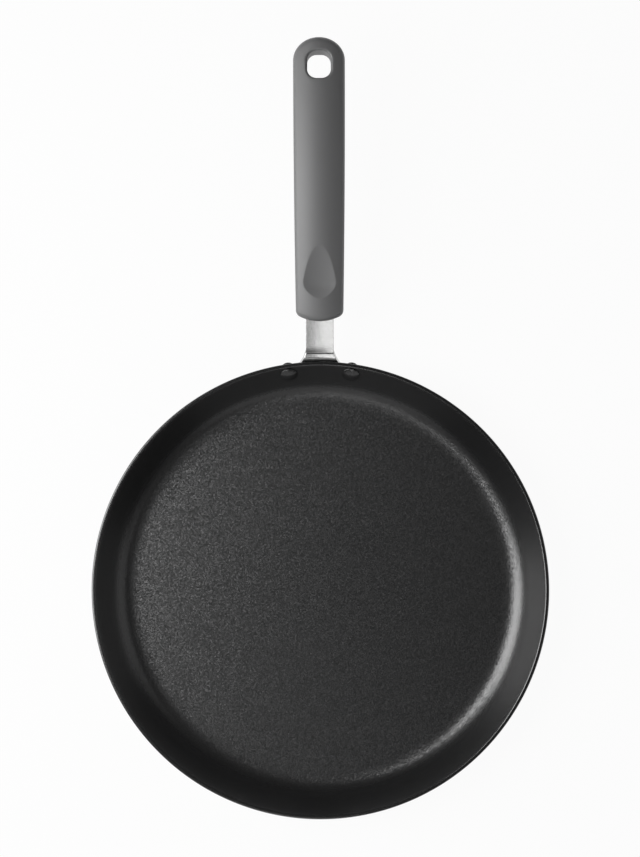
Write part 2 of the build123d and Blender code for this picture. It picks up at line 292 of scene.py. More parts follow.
def plain_mesh(name, maker):
    """The evaluated mesh of a helper object, which is then removed."""
    graph = bpy.context.evaluated_depsgraph_get()
    mesh = bpy.data.meshes.new_from_object(maker.evaluated_get(graph), depsgraph=graph)
    mesh.name = name
    discard(maker)
    return mesh


def helper_object(name, data):
    """A mesh, a camera or a light as an object in the scene."""
    thing = bpy.data.objects.new(name, data)
    bpy.context.scene.collection.objects.link(thing)
    return thing


def discard(maker):
    """Removes a helper object and its mesh."""
    mesh = maker.data
    bpy.data.objects.remove(maker)
    bpy.data.meshes.remove(mesh)


@contextmanager
def reshaped(mesh):
    """A mesh opened for changes, which are written back to it."""
    shape = bmesh.new()
    shape.from_mesh(mesh)
    yield shape
    shape.to_mesh(mesh)
    shape.free()


def dress(mesh, material):
    """Gives a mesh its only material."""
    mesh.materials.clear()
    mesh.materials.append(material)


def add_piece(name, mesh, material, slot, *nodes):
    """A finished piece that rides on the pan and stands for its CAD nodes."""
    piece = helper_object(name, mesh)
    dress(mesh, material)
    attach(piece, "root")
    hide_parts(*nodes)


def smooth_faces(mesh, sharp_angle):
    """Smooth shading, with edges over `sharp_angle` degrees kept sharp."""
    mesh.shade_smooth()
    mesh.set_sharp_from_angle(angle=radians(sharp_angle))


def values_of(settings, labels):
    """The settings whose names are a node group's labels, by label."""
    return {label: getattr(settings, label.lower().replace(" ", "_")) for label in labels}


# Shader groups that several finishes share

FLECKED_CELLS = (0.70, 1.0)  # random numbers of the cells that have a fleck, faint to full
FLECK_EDGE = (0.55, 0.15)  # from a cell's middle, in cells: a fleck's outer edge, its full part
HAZE_SCALE = 900.0
HAZE_RANGE = (0.45, 0.80)  # part of the noise that shows as haze
HAZE_SHARE = 0.35  # of the fleck colour, where the haze is thickest


def object_place(tree):
    """Where a shaded point lies in its object."""
    return Value(wire(tree, "ShaderNodeTexCoord"), "Object")


def axes_of(place):
    """A place's X, Y and Z."""
    parts = wire(place.tree, "ShaderNodeSeparateXYZ", {0: place})
    return [Value(parts, axis) for axis in "XYZ"]


def mixed(tree, factor, first, second, blend="MIX"):
    """Two colours mixed by a factor."""
    inputs = {"Factor": factor, 6: first, 7: second}
    return Value(wire(tree, "ShaderNodeMix", inputs, data_type="RGBA", blend_type=blend), 2)


def fine_grain_group():
    """Fine stretched grain: a bumped normal, and a roughness that varies a little with it."""
    name = "Fine Grain"
    if name in bpy.data.node_groups:
        return bpy.data.node_groups[name]
    tree, given, result = new_group(
        name,
        "ShaderNodeTree",
        [
            ("Scale", "Vector", (1.0, 1.0, 1.0)),
            ("Height", "Float", 0.1),
            ("Depth", "Float", 0.0001),
            ("Roughness", "Float", 0.5),
            ("Spread", "Float", 0.1),
        ],
        [("Normal", "Vector"), ("Roughness", "Float"), ("Grain", "Float")],
    )
    place = object_place(tree)
    stretched = wire(tree, "ShaderNodeMapping", {"Vector": place, "Scale": given["Scale"]})
    noise = {"Vector": stretched, "Scale": 1.0, "Detail": 3.0, "Roughness": 0.6}
    grain = Value(wire(tree, "ShaderNodeTexNoise", noise), "Fac")
    bump = {"Height": grain, "Strength": given["Height"], "Distance": given["Depth"]}
    varied = (grain - 0.5) * given["Spread"] + given["Roughness"]
    normal = wire(tree, "ShaderNodeBump", bump)
    fill(result, {"Normal": normal, "Roughness": varied, "Grain": grain})
    return tree


def coat_fleck_group():
    """A dark coat with fine pale flecks and tiny leaning grains, where the amount allows them."""
    name = "Coat Fleck"
    if name in bpy.data.node_groups:
        return bpy.data.node_groups[name]
    tree, given, result = new_group(
        name,
        "ShaderNodeTree",
        [
            ("Coat", "Color", (0.03, 0.03, 0.03, 1.0)),
            ("Fleck", "Color", (0.2, 0.2, 0.2, 1.0)),
            ("Scale", "Float", 1400.0),
            ("Speck Scale", "Float", 1000.0),
            ("Amount", "Float", 1.0),
            ("Tilt", "Float", 0.2),
            ("Normal", "Vector", (0.0, 0.0, 1.0)),
        ],
        [("Color", "Color"), ("Normal", "Vector")],
    )
    place = object_place(tree)
    cells = wire(tree, "ShaderNodeTexVoronoi", {"Vector": place, "Scale": given["Scale"]})
    parts = wire(tree, "ShaderNodeSeparateColor", {"Color": Value(cells, "Color")})
    chosen = Value(parts, "Red").ramp(FLECKED_CELLS, (0.0, 1.0), "LINEAR")
    spot = Value(cells, "Distance").ramp(FLECK_EDGE, (0.0, 1.0), "LINEAR")
    noise = wire(tree, "ShaderNodeTexNoise", {"Vector": place, "Scale": HAZE_SCALE, "Detail": 2.0})
    haze = Value(noise, "Fac").ramp(HAZE_RANGE, (0.0, HAZE_SHARE), "LINEAR")
    mask = (chosen * spot + haze) * given["Amount"]
    grains = wire(tree, "ShaderNodeTexVoronoi", {"Vector": place, "Scale": given["Speck Scale"]})

    def vector_calc(operation, inputs):
        return wire(tree, "ShaderNodeVectorMath", inputs, operation=operation)

    centred = vector_calc("SUBTRACT", {0: Value(grains, "Color"), 1: (0.5, 0.5, 0.5)})
    leaning = vector_calc("SCALE", {0: centred, "Scale": given["Tilt"] * given["Amount"]})
    normal = vector_calc("NORMALIZE", {0: vector_calc("ADD", {0: given["Normal"], 1: leaning})})
    fill(result, {"Color": mixed(tree, mask, given["Coat"], given["Fleck"]), "Normal": normal})
    return tree


def grain_node(tree, scale, height, depth, roughness, spread):
    """The fine grain placed in a material's tree."""
    inputs = {"Scale": scale, "Height": height, "Depth": depth}
    inputs |= {"Roughness": roughness, "Spread": spread}
    return wire(tree, "ShaderNodeGroup", inputs, node_tree=fine_grain_group())


# Materials

COAT_IOR = 1.6
COAT_GRAIN = ((1100.0,) * 3, 0.35, 0.0001)  # scale, height and depth
COAT_GRAIN_SPREAD = 0.05
FLECK_SCALE = 1500.0
SPECK_SCALE = 1850.0
COAT_FADE = (0.0005, 0.0065)  # over the dish's floor: where the flecks start to go and are gone
WALL_SHARE = 0.04  # of the flecks and grains, left on the wall
STRAP_GRAIN = (5200.0, 260.0, 5200.0)  # scale, stretched along the strap
PLATED_GRAIN = (1500.0,) * 3
STEEL_SPREAD = 0.14
MOULDED_GRAIN = (2200.0,) * 3
MOULDED_SPREAD = 0.12
MOULDED_IOR = 1.55
GRAIN_DEPTH = 0.00005  # relief of the steel's and the plastic's grain
WAVE_SCALE = 130.0  # of the strap's slow waves
CREASE_WIDTH = 0.0007
# Painted shade beside the strap's crease, stronger on the left:
SHADE_START = (-0.0006, 0.0002)  # from the crease, where the painted shade starts and is full
SHADE_END = (0.0005, 0.0048)  # from the crease, where it starts to fade and is gone
SHADE_SIDES = (-0.001, 0.009)  # across the strap, where it starts to weaken and is weakest
SHADE_WEAKEST = 0.2
STEEL_TONES = (0.90, 1.06)  # darkest and palest grain, as shares of the colour
MOULDED_TONES = (0.93, 1.07)


def new_material(name):
    """A material with a bare Principled shader, its tree and that shader."""
    material = bpy.data.materials.new(name)
    material.use_nodes = True
    tree = material.node_tree
    return material, tree, tree.nodes["Principled BSDF"]


def opaque(rgb):
    """A colour with full alpha."""
    return (*rgb, 1.0)


def coat_material(dish):
    """The dark non-stick coat: finely flecked on the floor, plainer on the wall."""
    name = "Flecked non-stick coat"
    if name in bpy.data.materials:
        return bpy.data.materials[name]
    material, tree, shader = new_material(name)
    _, _, height = axes_of(object_place(tree))
    amount = height.ramp([dish.sheet + edge for edge in COAT_FADE], (1.0, WALL_SHARE))
    roughness = amount.ramp((WALL_SHARE, 1.0), (dish.wall_roughness, dish.coat_roughness), "LINEAR")
    grain = grain_node(tree, *COAT_GRAIN, roughness, COAT_GRAIN_SPREAD)
    inputs = {
        "Coat": opaque(dish.coat_colour),
        "Fleck": opaque(dish.fleck_colour),
        "Scale": FLECK_SCALE,
        "Speck Scale": SPECK_SCALE,
        "Amount": amount,
        "Tilt": dish.speckle,
        "Normal": Value(grain, "Normal"),
    }
    fleck = wire(tree, "ShaderNodeGroup", inputs, node_tree=coat_fleck_group())
    fill(shader, {"Base Color": Value(fleck, "Color"), "Roughness": Value(grain, "Roughness")})
    fill(shader, {"Normal": Value(fleck, "Normal"), "IOR": COAT_IOR, "Specular IOR Level": 1.0})
    return material


def grained_material(name, rgb, tones, grain, finish):
    """A material whose tone, roughness and relief vary a little with a fine grain."""
    material, tree, shader = new_material(name)
    scale, height, roughness, spread = grain
    node = grain_node(tree, scale, height, GRAIN_DEPTH, roughness, spread)
    dark, pale = (opaque([min(part * tone, 1.0) for part in rgb]) for tone in tones)
    fill(shader, {"Base Color": mixed(tree, Value(node, "Grain"), dark, pale), **finish})
    fill(shader, {name: Value(node, name) for name in ("Roughness", "Normal")})
    return material


def steel_material(name, rgb, roughness, grain_scale, height):
    """Steel with a fine grain."""
    grain = (grain_scale, height, roughness, STEEL_SPREAD)
    return grained_material(name, rgb, STEEL_TONES, grain, {"Metallic": 1.0})


def moulded_material(name, rgb, roughness, height, specular):
    """Moulded plastic or rubber with a very fine matt texture."""
    grain = (MOULDED_GRAIN, height, roughness, MOULDED_SPREAD)
    finish = {"Specular IOR Level": specular, "IOR": MOULDED_IOR}
    return grained_material(name, rgb, MOULDED_TONES, grain, finish)


def stamped_normal(tree, normal, strap):
    """The normal of a strap that is a little hollow, uneven, and creased where it is bent."""
    place = object_place(tree)
    x, y, _ = axes_of(place)
    off_middle = calc("MINIMUM", calc("ABSOLUTE", x), strap.hollow_reach)
    hollow = off_middle**2.0 / (2 * strap.hollow_radius)
    noise = wire(tree, "ShaderNodeTexNoise", {"Vector": place, "Scale": WAVE_SCALE, "Detail": 1.0})
    waves = Value(noise, "Fac") * strap.unevenness
    crease = calc("EXPONENT", ((y - strap.crease_place) / CREASE_WIDTH) ** 2.0 * -1.0)
    height = waves + hollow - crease * strap.crease_depth
    bump = {"Height": height, "Strength": 1.0, "Distance": 1.0, "Normal": normal}
    return wire(tree, "ShaderNodeBump", bump)


def painted_bend_shade(tree, strap):
    """A factor for the steel's colour that paints shade: darker beside the crease, more so on the
    left.
    """
    x, y, _ = axes_of(object_place(tree))
    beyond = y.ramp([strap.crease_place + edge for edge in SHADE_START], (0.0, 1.0))
    fading = y.ramp([strap.crease_place + edge for edge in SHADE_END], (1.0, 0.0))
    leftward = x.ramp(SHADE_SIDES, (1.0, SHADE_WEAKEST))
    return 1.0 - beyond * fading * leftward * strap.bend_shade


def strap_material(strap):
    """Satin steel with the marks of its stamping, and painted shade beside its crease."""
    colour_and_finish = (strap.steel_colour, strap.steel_roughness, STRAP_GRAIN, 0.20)
    material = steel_material("Satin steel", *colour_and_finish)
    tree = material.node_tree
    shader = tree.nodes["Principled BSDF"]
    tone, normal = (shader.inputs[name].links[0].from_socket for name in ("Base Color", "Normal"))
    # Painted shade: the steel's colour is made darker beside the crease.
    darkened = mixed(tree, 1.0, tone, painted_bend_shade(tree, strap), "MULTIPLY")
    fill(shader, {"Base Color": darkened, "Normal": stamped_normal(tree, normal, strap)})
    return material


# Profiles for the pieces that are swept round an axis


def by_index(tree, data_type, values):
    """For each point of a line, the value with its number."""
    choice = wire(tree, "GeometryNodeIndexSwitch", data_type=data_type)
    while len(choice.index_switch_items) < len(values):
        choice.index_switch_items.new()
    fill(choice, dict(enumerate([wire(tree, "GeometryNodeInputIndex"), *values])))
    return choice


def profile_points(tree, places):
    """A line through points that are given as pairs of reach and height."""
    line = wire(tree, "GeometryNodeMeshLine", {"Count": len(places)})
    points = [wire(tree, "ShaderNodeCombineXYZ", {"X": x, "Y": y}) for x, y in places]
    moved = {"Geometry": line, "Position": by_index(tree, "VECTOR", points)}
    placed = wire(tree, "GeometryNodeSetPosition", moved)
    return wire(tree, "GeometryNodeMeshToCurve", {"Mesh": placed})


def rounded_profile(tree, curve, radii, steps):
    """The same line with its corners rounded, each by its own radius."""
    radius = by_index(tree, "FLOAT", radii)
    inputs = {"Curve": curve, "Radius": radius, "Limit Radius": True, "Count": steps}
    return wire(tree, "GeometryNodeFilletCurve", inputs, mode="POLY")


def swept_round(tree, profile, segments):
    """A closed profile, drawn with X as its reach and Y as its height, swept round the Z axis."""
    path = wire(tree, "GeometryNodeCurvePrimitiveCircle", {"Resolution": segments, "Radius": 1.0})
    moved = {"Geometry": profile, "Translation": (-1.0, 0.0, 0.0), "Scale": (1.0, -1.0, 1.0)}
    upright = wire(tree, "GeometryNodeTransform", moved)
    swept = wire(tree, "GeometryNodeCurveToMesh", {"Curve": path, "Profile Curve": upright})
    welded = wire(tree, "GeometryNodeMergeByDistance", {"Geometry": swept, "Distance": WELD})
    return wire(tree, "GeometryNodeSetShadeSmooth", {"Geometry": welded, "Shade Smooth": True})


def form_group(name, sizes, others):
    """A geometry group with a number for each of its sizes, its other inputs and a material."""
    inputs = [(label, "Float") for label in sizes] + others + [("Material", "Material")]
    return new_group(name, "GeometryNodeTree", inputs, [("Geometry", "Geometry")])


def end_tree(tree, geometry, given, result):
    """Ends a tree with real geometry that has its material."""
    real = wire(tree, "GeometryNodeRealizeInstances", {"Geometry": geometry})
    dressed = {"Geometry": real, "Material": given["Material"]}
    fill(result, {"Geometry": wire(tree, "GeometryNodeSetMaterial", dressed)})
    return tree


# The dish: one profile swept round the axis

DISH_SIZES = ("Rim Radius", "Height", "Sheet", "Wall Angle", "Corner Radius", "Corner Floor")
DISH_SIZES += ("Corner Wall", "Corner Outset", "Rim Edge")
INNER_CORNER_STEPS = 22
DISH_EDGE_STEPS = 14


def soft_corner(corner, reaches, slope, steps):
    """Points along a corner that bends most in its middle and not at all at its ends."""
    reach, height = corner
    over_floor, up_wall = reaches
    across, rise = up_wall * calc("COSINE", slope), up_wall * calc("SINE", slope)
    places = []
    for step in range(steps + 1):
        up, back = (step / steps) ** 3, (1 - step / steps) ** 3
        places.append((reach - over_floor * back + across * up, rise * up + height))
    return places


def dish_tree():
    """Nodes that make the dish from its sizes."""
    others = [("Support", "Float", 0.0006), ("Segments", "Int", 288)]
    tree, given, result = form_group("Dish", DISH_SIZES, others)
    rim, height, sheet, slope, outer_corner = (given[label] for label in DISH_SIZES[:5])
    over_floor, up_wall, outset, edge = (given[label] for label in DISH_SIZES[5:])
    run = 1.0 / calc("TANGENT", slope)
    base = rim - height * run
    inner_rim = rim - sheet / calc("SINE", slope)
    rise = height - sheet
    inner_run = rise * run - outset
    inner_slope = calc("ARCTAN2", rise, inner_run)
    setback = outer_corner * calc("TANGENT", slope * 0.5)
    flat_edge = base - setback - given["Support"]
    foot = (inner_rim - inner_run, sheet)
    bend = soft_corner(foot, (over_floor, up_wall), inner_slope, INNER_CORNER_STEPS)
    outside = [(0.0, 0.0), (flat_edge, 0.0), (base, 0.0), (rim, height), (inner_rim, height)]
    curve = profile_points(tree, outside + bend[::-1] + [(0.0, sheet)])
    radii = [0.0, 0.0, outer_corner, edge, edge] + [0.0] * (len(bend) + 1)
    rounded = rounded_profile(tree, curve, radii, DISH_EDGE_STEPS)
    inside_out = swept_round(tree, rounded, given["Segments"])
    swept = wire(tree, "GeometryNodeFlipFaces", {"Mesh": inside_out})
    return end_tree(tree, swept, given, result)


class PAN_OT_make_dish(bpy.types.Operator):
    """Make the pressed dish with its non-stick coat"""

    bl_idname = "crepe_pan.make_dish"
    bl_label = "Make Dish"

    def execute(self, context):
        dish = context.scene.pan_dish
        coat = coat_material(dish)
        values = values_of(dish, (*DISH_SIZES, "Segments")) | {"Material": coat}
        mesh = grown_mesh("coated_dish", dish_tree(), values)
        add_piece("coated_dish", mesh, coat, "coated_aluminium", "pan_body")
        return {"FINISHED"}


# The rivets: one profile swept round, then set square to the wall

RIVET_SIZES = ("Head Base", "Head Radius", "Head Edge", "Head Height", "Shank Radius", "Tail Base")
RIVET_SIZES += ("Tail Radius", "Tail Height", "Tail Edge")
DOME_STEPS = 10
RIVET_EDGE_STEPS = 5


def rivet_tree():
    """Nodes that make one rivet, with its head up, and put it in its place."""
    others = [
        ("Dome Edge", "Float", 0.0002),
        ("Place", "Vector"),
        ("Turn", "Rotation"),
        ("Segments", "Int", 64),
    ]
    tree, given, result = form_group("Domed Rivet", RIVET_SIZES, others)
    head, base = given["Head Radius"], given["Head Base"]
    shank, tail = given["Shank Radius"], given["Tail Radius"]
    edge_top, top = base + given["Head Edge"], base + given["Head Height"]
    rise = top - edge_top
    dome = (head**2.0 + rise**2.0) / (rise * 2.0)
    half_turn = calc("ARCSINE", head / dome)
    places = [(0.0, top)]
    for step in range(1, DOME_STEPS):
        turn = half_turn * (step / DOME_STEPS)
        drop = dome - dome * calc("COSINE", turn)
        places.append((dome * calc("SINE", turn), top - drop))
    tail_base = given["Tail Base"] * -1.0
    tail_top = tail_base - given["Tail Height"]
    places += [(head, edge_top), (head, base), (shank, base), (shank, tail_base)]
    places += [(tail, tail_base), (tail, tail_top), (0.0, tail_top)]
    radii = [0.0] * DOME_STEPS + [given["Dome Edge"], 0.0, 0.0, 0.0, 0.0, given["Tail Edge"], 0.0]
    rounded = rounded_profile(tree, profile_points(tree, places), radii, RIVET_EDGE_STEPS)
    swept = swept_round(tree, rounded, given["Segments"])
    moved = {"Geometry": swept, "Translation": given["Place"], "Rotation": given["Turn"]}
    return end_tree(tree, wire(tree, "GeometryNodeTransform", moved), given, result)


def rivet_place(rivets, wall_angle, side):
    """Where a rivet's axis meets the wall's outer face, and its turn from upright."""
    about = asin(rivets.spacing / 2 / rivets.reach)
    outward = Vector((side * sin(about), cos(about), 0.0))
    inward = Vector((0.0, 0.0, cos(wall_angle))) - outward * sin(wall_angle)
    place = outward * rivets.reach + Vector((0.0, 0.0, rivets.height))
    return place, inward.to_track_quat("Z", "X").to_euler()


class PAN_OT_make_rivets(bpy.types.Operator):
    """Make the two coated rivets"""

    bl_idname = "crepe_pan.make_rivets"
    bl_label = "Make Rivets"

    def execute(self, context):
        dish, rivets = context.scene.pan_dish, context.scene.pan_rivets
        coat = coat_material(dish)
        tree = rivet_tree()
        for name, side in (("rivet_left", -1), ("rivet_right", 1)):
            place, turn = rivet_place(rivets, dish.wall_angle, side)
            values = values_of(rivets, RIVET_SIZES)
            values |= {"Place": place, "Turn": turn, "Material": coat}
            mesh = grown_mesh("coated_" + name, tree, values)
            add_piece("coated_" + name, mesh, coat, "coated_aluminium", name)
        return {"FINISHED"}


# The strap and its riveted plate, with eased edges

CAD_WELD = 0.000002  # closes the seams between the CAD mesh's faces
FLAT_WITHIN = 0.6  # degrees; CAD facets that bend less than this are made one face
EASED_OVER = 50.0  # degrees; edges that bend more than this are eased
STRAP_SHARP = 30.0  # degrees; edges that bend more than this are shaded sharp


class PAN_OT_make_strap(bpy.types.Operator):
    """Ease the edges of the stamped steel bracket and give it its satin finish"""

    bl_idname = "crepe_pan.make_strap"
    bl_label = "Make Strap"

    def execute(self, context):
        strap = context.scene.pan_strap
        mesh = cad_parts["handle_bracket"].data.copy()
        with reshaped(mesh) as shape:
            bmesh.ops.remove_doubles(shape, verts=shape.verts, dist=CAD_WELD)
            flat, verts, edges = radians(FLAT_WITHIN), shape.verts, shape.edges
            bmesh.ops.dissolve_limit(
                shape, angle_limit=flat, verts=verts, edges=edges, delimit={"NORMAL"}
            )
        maker = helper_object("satin_strap_maker", mesh)
        eased = maker.modifiers.new("Eased edges", "BEVEL")
        eased.width = strap.edge
        eased.segments = 2
        eased.limit_method = "ANGLE"
        eased.angle_limit = radians(EASED_OVER)
        eased.use_clamp_overlap = False
        smooth_faces(mesh, STRAP_SHARP)
        even = maker.modifiers.new("Even normals", "WEIGHTED_NORMAL")
        even.mode = "FACE_AREA"
        even.weight = 100
        finished = plain_mesh("satin_strap", maker)
        add_piece("satin_strap", finished, strap_material(strap), "steel", "handle_bracket")
        return {"FINISHED"}


# The grip's soft sleeve, worked out from its sizes

SIDE = np.array([1.0, 0.0, 0.0])  # across the handle
ROUNDS = 6  # repeats after which a point slid onto a curved face lies still
DIMPLE_SPAN = (-0.03, 0.04)  # from its deepest place, as far as the scoop is worked out
EDGE_PROBE = 50  # the slope at an edge is measured over this part of its radius
TIP_DENSITY = 1.3  # how much closer the points are round the tip
CORNER_TURN = 1.3  # radians, about what a corner of the pan end turns
CORNER_DENSITY = 2  # how much closer the points are there
FLANK_ROWS = (0.25, 0.5, 0.75)  # rows between the top's and the belly's edges
BORE_ROWS = np.linspace(0, 1, 9)[1:-1]  # the same down the hanging hole
HOLE_SPACING = 0.7  # of the mesh's spacing, round the hanging hole
HIDDEN_LIP = 0.0002  # the hanging hole's edges inside the sleeve
ROW_SPACING = 1.15  # of the mesh's spacing, between a row's points
OUTLINE_GAP = 0.6  # of the mesh's spacing, kept between loose points and the outline
HOLE_GAP = 0.5
DIMPLE_GAP = 0.45
DIMPLE_RAYS = 180
DIMPLE_REACH = 0.03  # the dimple's edge is nearer to its middle than this
DIMPLE_HALF_WIDTH = 0.0135  # and isn't looked for farther out to the side than this
LEAST_SIDEWAYS = 0.01  # for rays that hardly point to the side
DIMPLE_HALVINGS = 30
DIMPLE_OFFSETS = (-0.0008, -0.00045, -0.00022, 0.0, 0.00022, 0.00045, 0.0008)
POCKET_POINTS = 56
POCKET_EDGE_STEPS = 4
POCKET_DEPTH = 1.5  # of the sleeve's wall
SLOT_BLOCK_LENGTH = 0.02
SOLVER_SCALE = 1000  # plans are filled in millimetres
SOLVER_WELD = 0.00001
OUTER_STEPS = 8  # faces across the sleeve's rounded edges
CAVITY_SPACING = 2.5  # of the sleeve's spacing
CAVITY_STEPS = 3  # faces across the cavity's rounded edges
GRIP_SHARP = 40.0  # degrees


def rising(slope):
    """The direction along the handle that climbs at `slope`."""
    return np.array([0.0, cos(slope), sin(slope)])


def square_to(slope):
    """The direction square to the handle where it climbs at `slope`."""
    return np.array([0.0, -sin(slope), cos(slope)])


def laid(flat, along):
    """Places given across the handle and along a direction, as steps in space."""
    return flat[:, :1] * SIDE + flat[:, 1:2] * along


class GripForm:
    """The arched form of the grip, drawn in by `inset` all round."""

    def __init__(self, sizes, inset):
        self.sizes = sizes
        self.inset = inset
        turn = sizes.start_angle - sizes.tip_angle
        self.radius = sizes.length / turn
        self.chord = 2 * self.radius * sin(turn / 2)
        middle = (sizes.start_angle + sizes.tip_angle) / 2
        self.along, self.up = rising(middle), square_to(middle)
        self.start = np.array(sizes.start)
        self.centre = self.start - self.radius * square_to(sizes.start_angle)

    def arch_frame(self, distance, lift=0.0):
        """A point over the middle line, with the directions along it and square to it."""
        slope = self.sizes.start_angle - distance / self.radius
        normal = square_to(slope)
        return self.centre + normal * (self.radius + lift), rising(slope), normal

    def half_thickness(self, distance):
        """From the middle line to the top, or to the belly."""
        near, far = self.sizes.thickness_pan, self.sizes.thickness_tip
        return (near + (far - near) / self.sizes.length * distance) / 2 - self.inset

    def crown_frame(self, distance):
        """A point on the crown, with the directions along it and square to it."""
        return self.arch_frame(distance, self.half_thickness(distance))

    def height_over(self, points, side):
        """How far points stand over the top (side 1) or under the belly (side -1)."""
        reach = points[:, 1:] - self.centre[1:]
        span = np.hypot(reach[:, 0], reach[:, 1])
        slope = np.arctan2(-reach[:, 0], reach[:, 1])
        distance = self.radius * (self.sizes.start_angle - slope)
        across = self.sizes.crown_radius if side > 0 else self.sizes.belly_radius
        drop = across - np.sqrt(across**2 - points[:, 0] ** 2)
        over = side * (span - self.radius) - (self.half_thickness(distance) - drop)
        return over, reach / span[:, None]

    def lifted(self, points, normal, side):
        """Points slid along `normal` onto the top (side 1) or the belly (side -1)."""
        for _ in range(ROUNDS):
            over, radial = self.height_over(points, side)
            points = points - side * normal * (over / (radial @ normal[1:]))[:, None]
        return points

    def scooped(self, points):
        """Points slid up onto the scoop of the thumb dimple."""
        sizes = self.sizes
        origin, along, up = self.crown_frame(sizes.dimple_deepest)
        depth, across = sizes.dimple_depth, sizes.dimple_radius - sizes.dimple_depth
        places = (sizes.dimple_near, sizes.dimple_far)
        ends = [self.crown_frame(place)[0] - origin for place in places]
        lean_near, lean_far = (atan2(end @ up + depth, abs(end @ along)) for end in ends)
        floor = sizes.dimple_floor
        reach = floor * tan((lean_near + lean_far) / 2)
        start = -reach * cos(lean_near)
        middle_y = start + floor * sin(lean_near)
        middle_z = reach * sin(lean_near) - depth + floor * cos(lean_near)
        for _ in range(ROUNDS):
            local = points - origin
            y, z = np.clip(local @ along, *DIMPLE_SPAN), local @ up
            line = np.where(y < 0, -y * tan(lean_near), y * tan(lean_far)) - depth
            rounded = middle_z - np.sqrt(np.maximum(floor**2 - (y - middle_y) ** 2, 0.0))
            line = np.where((y > start) & (y < reach * cos(lean_far)), rounded, line)
            scoop = across - np.sqrt((across - line) ** 2 - points[:, 0] ** 2)
            points = points + self.up * ((scoop - z) / (up @ self.up))[:, None]
        return points

    def in_plan(self, flat):
        """Places given across and along the chord, as points in space."""
        return self.start + laid(flat, self.along)

    def plan_of(self, points):
        """Points in space, as places across and along the chord."""
        local = points - self.start
        return np.stack([local @ SIDE, local @ self.along], axis=1)

    def belly(self, flat):
        """Places in plan, slid onto the belly."""
        return self.lifted(self.in_plan(flat), self.up, -1)

    def top(self, flat):
        """Places in plan, slid onto the top, with the thumb dimple's softened edge."""
        points = self.in_plan(flat)
        crown, scoop = self.lifted(points, self.up, 1), self.scooped(points)
        high, low = (crown - points) @ self.up, (scoop - points) @ self.up
        soft = self.sizes.dimple_edge
        blended = (high + low - np.sqrt((high - low) ** 2 + soft**2)) / 2
        return points + self.up * blended[:, None]

    def outline(self, spacing):
        """The grip's outline in plan, anticlockwise."""
        sizes, inset = self.sizes, self.inset
        near, far = sizes.width_pan / 2 - inset, sizes.width_tip / 2 - inset
        dome_start, dome = self.chord - sizes.tip_dome, sizes.tip_dome - inset
        taper = (far - near) / (dome_start - sizes.end_bulge) ** 2
        bulge = (near**2 + (sizes.end_bulge - inset) ** 2) / (2 * (sizes.end_bulge - inset))
        corner = sizes.end_corner - inset
        corner_x = near - corner
        for _ in range(ROUNDS):
            corner_y = inset + bulge - sqrt((bulge - corner) ** 2 - corner_x**2)
            corner_x = far - taper * (dome_start - corner_y) ** 2 - corner
        count = ceil(pi / 2 * (far + dome) / 2 / spacing * TIP_DENSITY)
        angles = np.linspace(0.0, pi / 2, count + 1)
        tip = arc(angles, far, dome, (0.0, dome_start))
        climb = np.linspace(corner_y, dome_start, ceil((dome_start - corner_y) / spacing) + 1)
        flank = np.stack([far - taper * (dome_start - climb) ** 2, climb], axis=1)
        swing = atan2(inset + bulge - corner_y, -corner_x)
        count = ceil(corner * CORNER_TURN / spacing * CORNER_DENSITY)
        angles = np.linspace(swing - pi, 0.0, count + 1)
        turn = arc(angles, corner, corner, (corner_x, corner_y))
        half_swing = pi / 2 - (pi - swing)
        angles = np.linspace(0.0, half_swing, ceil(bulge * half_swing / spacing) + 1)
        end = np.stack([bulge * np.sin(angles), inset + bulge - bulge * np.cos(angles)], axis=1)
        right = np.concatenate([end[:-1], turn[:-1], flank[:-1], tip])
        return np.concatenate([right, right[-2:0:-1] * (-1.0, 1.0)])

    def rounded_edge(self, wall, inward, normal, radius, side, steps):
        """Rows of points that turn from a wall onto the top or the belly."""
        up = normal * side
        reach = np.full(len(wall), radius)
        step = radius / EDGE_PROBE
        for _ in range(ROUNDS):
            here = self.lifted(wall + inward * reach[:, None], normal, side)
            ahead = self.lifted(wall + inward * (reach + step)[:, None], normal, side)
            lean = np.arctan(((ahead - here) @ up) / step)
            reach = radius * (1 - np.sin(lean))
        centre = (here - wall) @ up - radius * np.cos(lean)
        rows = []
        for number in range(steps + 1):
            swing = (pi / 2 - lean) * number / steps
            across = radius - radius * np.cos(swing)
            rise = centre + radius * np.sin(swing)
            rows.append(wall + inward * across[:, None] + up * rise[:, None])
        return rows

    def wall_band(self, surface, wall, inward, normal, radius, steps, between):
        """Adds a wall with its rounded edges, and gives its last rows on top and belly."""
        top, belly = (
            self.rounded_edge(wall, inward, normal, radius, side, steps) for side in (1, -1)
        )
        flank = [top[0] + (belly[0] - top[0]) * part for part in between]
        surface.add_rows(top[::-1] + flank + belly)
        return top[-1], belly[-1]


def inward_directions(flat):
    """For a closed anticlockwise outline, the unit directions that point into it."""
    chord = np.roll(flat, -1, axis=0) - np.roll(flat, 1, axis=0)
    chord /= np.linalg.norm(chord, axis=1)[:, None]
    return np.stack([-chord[:, 1], chord[:, 0]], axis=1)


def arc(angles, across, along, middle=(0.0, 0.0)):
    """Points round an ellipse with the half axes `across` and `along`."""
    x, y = middle
    return np.stack([x + across * np.cos(angles), y + along * np.sin(angles)], axis=1)


def circle(count):
    """Points round a circle of radius 1, anticlockwise from the first axis."""
    return arc(np.linspace(0.0, 2 * pi, count, endpoint=False), 1.0, 1.0)


